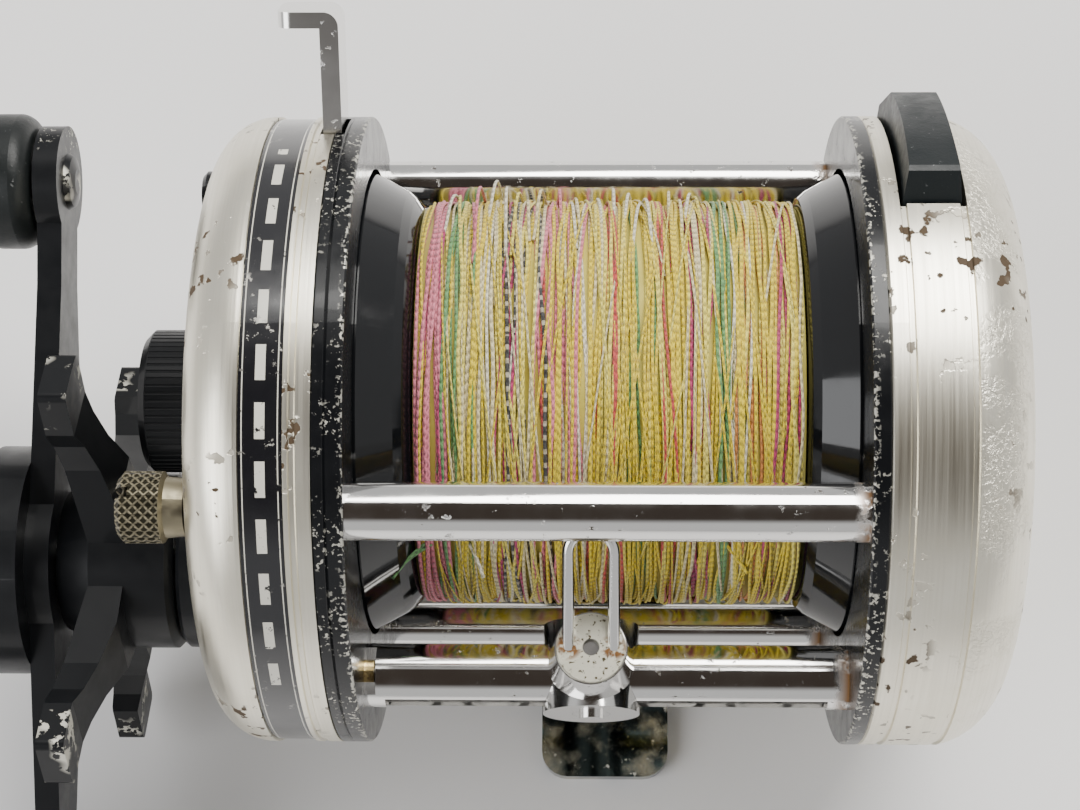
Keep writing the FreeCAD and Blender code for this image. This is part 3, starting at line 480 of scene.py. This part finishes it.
def wind(strands):
    """Two layers of closed turns, each a little uneven."""
    turns = 124
    steps = 88
    width = LINE_X[1] - LINE_X[0]
    for r0, count in ((LINE_R - 0.00052, turns), (LINE_R - 0.00018, turns - 14)):
        for i in range(count):
            x0 = LINE_X[0] + 0.0003 + (width - 0.0006) * (i + 0.5) / count + rng.uniform(-0.0001, 0.0001)
            lean = rng.uniform(0.0001, 0.0011) * (1 if rng.random() > 0.3 else -1)
            start = rng.uniform(0.0, 2.0 * math.pi)
            ripple = [(rng.uniform(0.00003, 0.00014), rng.randint(2, 9), rng.uniform(0.0, PHASE))
                      for _ in range(3)]
            lift = [(rng.uniform(0.0, 0.00007), rng.randint(2, 6), rng.uniform(0.0, PHASE))
                    for _ in range(2)]
            r = r0 + rng.uniform(-0.00004, 0.00008)
            points = []
            for k in range(steps):
                a = 2.0 * math.pi * k / steps
                x = x0 + lean * math.sin(a + start)
                x += sum(size * math.sin(n * a + p) for size, n, p in ripple)
                x = min(max(x, LINE_X[0] + 0.0002), LINE_X[1] - 0.0002)
                lifted = r + sum(size * math.sin(n * a + p) for size, n, p in lift)
                points.append(on_spool(x, a, lifted))
            strands.tube(points, rng.uniform(0.00011, 0.00019), pick(x0), closed=True)


def crossings(strands):
    """Thin strands that run over the others at a slant."""
    steps = 33
    for _ in range(90):
        x0 = rng.uniform(LINE_X[0] + 0.002, LINE_X[1] - 0.002)
        slant = rng.uniform(-0.0046, 0.0046)
        begin = rng.uniform(-2.6, 2.0)
        span = rng.uniform(0.9, 2.6)
        points = []
        for k in range(steps + 1):
            f = k / steps
            hump = math.sin(math.pi * f)
            x = min(max(x0 + slant * (f - 0.5), LINE_X[0] + 0.0003), LINE_X[1] - 0.0003)
            points.append(on_spool(x, begin + span * f, LINE_R - 0.0003 + 0.00036 * min(1.0, 3.0 * hump)))
        colour = ORDER.index(rng.choice(("cream", "pale", "yellow", "yellow")))
        strands.tube(points, rng.uniform(0.00007, 0.00012), colour)


def loose_loops(strands):
    """Slack turns that stand off the top of the winding, and four short cut ends."""
    loops = 22
    loop_steps = 25
    tag_steps = 13
    for i in range(loops):
        x0 = -0.0150 + 0.0240 * (i + rng.random()) / loops
        top = rng.uniform(-1.15, -0.75)
        half = rng.uniform(0.22, 0.42)
        rise = rng.uniform(0.0005, 0.0017) * (1.7 if x0 < -0.004 else 0.8)
        spread = rng.uniform(-0.0012, 0.0012)
        points = []
        for k in range(loop_steps + 1):
            f = k / loop_steps
            points.append(on_spool(x0 + spread * (f - 0.5), top + half * (2.0 * f - 1.0),
                                   LINE_R - 0.0002 + rise * math.sin(math.pi * f) ** 2))
        strands.tube(points, 0.00014, ORDER.index(rng.choice(("white", "cream", "white", "pale", "pink"))))
    for x0, reach, colour, lean in ((-0.0158, 0.0046, "green", -0.0030), (-0.0152, 0.0036, "green", -0.0038),
                                    (0.0104, 0.0024, "yellow", 0.0020), (-0.0120, 0.0042, "white", 0.0012)):
        points = []
        for k in range(tag_steps + 1):
            f = k / tag_steps
            points.append(on_spool(x0 + lean * f, 1.05 + 0.16 * f, LINE_R - 0.0002 + reach * 0.32 * f * f))
        strands.tube(points, 0.00016, ORDER.index(colour))


def core():
    """Plain solid drum under the strands, so no gap shows between them."""
    strands = Strands()
    rings = []
    r = LINE_R - 0.00062
    for x in LINE_X:
        rings.append([on_spool(x, 2.0 * math.pi * k / CORE_STEPS, r) for k in range(CORE_STEPS)])
    strands.verts = rings[0] + rings[1]
    for k in range(CORE_STEPS):
        n = (k + 1) % CORE_STEPS
        strands.faces.append((k, n, CORE_STEPS + n, CORE_STEPS + k))
        strands.uvs += [(0.0, 0.0)] * 4
        strands.mats.append(ORDER.index("pale"))
    for base in (0, CORE_STEPS):
        face = [base + k for k in range(CORE_STEPS)]
        strands.faces.append(tuple(reversed(face)) if base == 0 else tuple(face))
        strands.uvs += [(0.0, 0.0)] * CORE_STEPS
        strands.mats.append(ORDER.index("pale"))
    return strands


line_mats = [braid("line_" + name, *COLOURS[name]) for name in ORDER]
under = core().build("line_core", line_mats)
windings = Strands()
wind(windings)
crossings(windings)
loose_loops(windings)
wound = windings.build("line_strands", line_mats)
for obj in (under, wound):
    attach(obj, "spool_group")
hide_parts("wound_line")


# ------------------------------------------------------------ floor, light, camera
def floor():
    mesh = bpy.data.meshes.new("floor")
    s = 1.2   # half width
    mesh.from_pydata([(-s, -s, 0), (s, -s, 0), (s, s, 0), (-s, s, 0)], [], [(0, 1, 2, 3)])
    obj = bpy.data.objects.new("floor", mesh)
    bpy.context.scene.collection.objects.link(obj)
    m, _, _ = new_material("floor_pale", (0.85, 0.84, 0.835), 0.0, 0.9)
    mesh.materials.append(m)


MIDDLE = (0.0, 0.0, 0.03)   # what both lights face


def soft_light(name, where, look_at, size, power, colour):
    data = bpy.data.lights.new(name, "AREA")
    data.shape = "RECTANGLE"
    data.size, data.size_y = size
    data.energy = power
    data.color = colour
    obj = bpy.data.objects.new(name, data)
    obj.location = where
    obj.rotation_euler = (Vector(look_at) - Vector(where)).to_track_quat("-Z", "Y").to_euler()
    bpy.context.scene.collection.objects.link(obj)


def camera():
    """Looks steeply down from above the front, a little off square to the spool axis."""
    yaw, roll, dip = 0.027, 0.002, math.radians(18.0)
    w = Vector((-math.sin(yaw), 0.0, -math.cos(yaw)))
    v = Vector((-math.sin(roll), math.cos(roll), 0.0))
    x_axis = Vector((math.cos(yaw), roll, -math.sin(yaw)))
    y_axis = -(math.cos(dip) * v + math.sin(dip) * w)
    z_axis = -math.sin(dip) * v + math.cos(dip) * w
    right, down, ahead = [Vector((x_axis[i], y_axis[i], z_axis[i])) for i in range(3)]
    ahead = ahead.normalized()
    right = (right - right.dot(ahead) * ahead).normalized()
    down = ahead.cross(right)
    data = bpy.data.cameras.new("camera")
    data.sensor_width = 36.0
    data.lens = 73.33
    data.clip_start = 0.01
    obj = bpy.data.objects.new("camera", data)
    bpy.context.scene.collection.objects.link(obj)
    middle = Vector((-0.006176, 0.0, ZC))
    lift, far = 0.002249, 0.2059
    spot = middle - lift * down - far * ahead
    rows = Matrix((right, -down, -ahead)).transposed().to_4x4()
    obj.matrix_world = Matrix.Translation(spot) @ rows
    bpy.context.scene.camera = obj


def surroundings():
    """Pale room all round, with a darker warm patch overhead for the metal to mirror."""
    world = bpy.data.worlds.new("studio")
    world.use_nodes = True
    tree = world.node_tree
    tc = tree.nodes.new("ShaderNodeTexCoord")
    toward = tree.nodes.new("ShaderNodeVectorMath")
    toward.operation = "DOT_PRODUCT"
    tree.links.new(tc.outputs["Generated"], toward.inputs[0])
    toward.inputs[1].default_value = (-0.03, -0.31, 0.95)
    overhead = ramp(tree, toward.outputs["Value"], 0.72, 0.90)
    sky = mix(tree, overhead, (0.92, 0.92, 0.92), (0.075, 0.06, 0.05))
    tree.links.new(sky, tree.nodes["Background"].inputs["Color"])
    tree.nodes["Background"].inputs["Strength"].default_value = 0.70
    bpy.context.scene.world = world


floor()
soft_light("key", (0.16, 0.30, 0.55), MIDDLE, (0.50, 0.34), 6.0, (1.0, 0.985, 0.95))
soft_light("fill", (-0.45, -0.25, 0.40), MIDDLE, (0.45, 0.45), 2.6, (0.97, 0.98, 1.0))
surroundings()
camera()
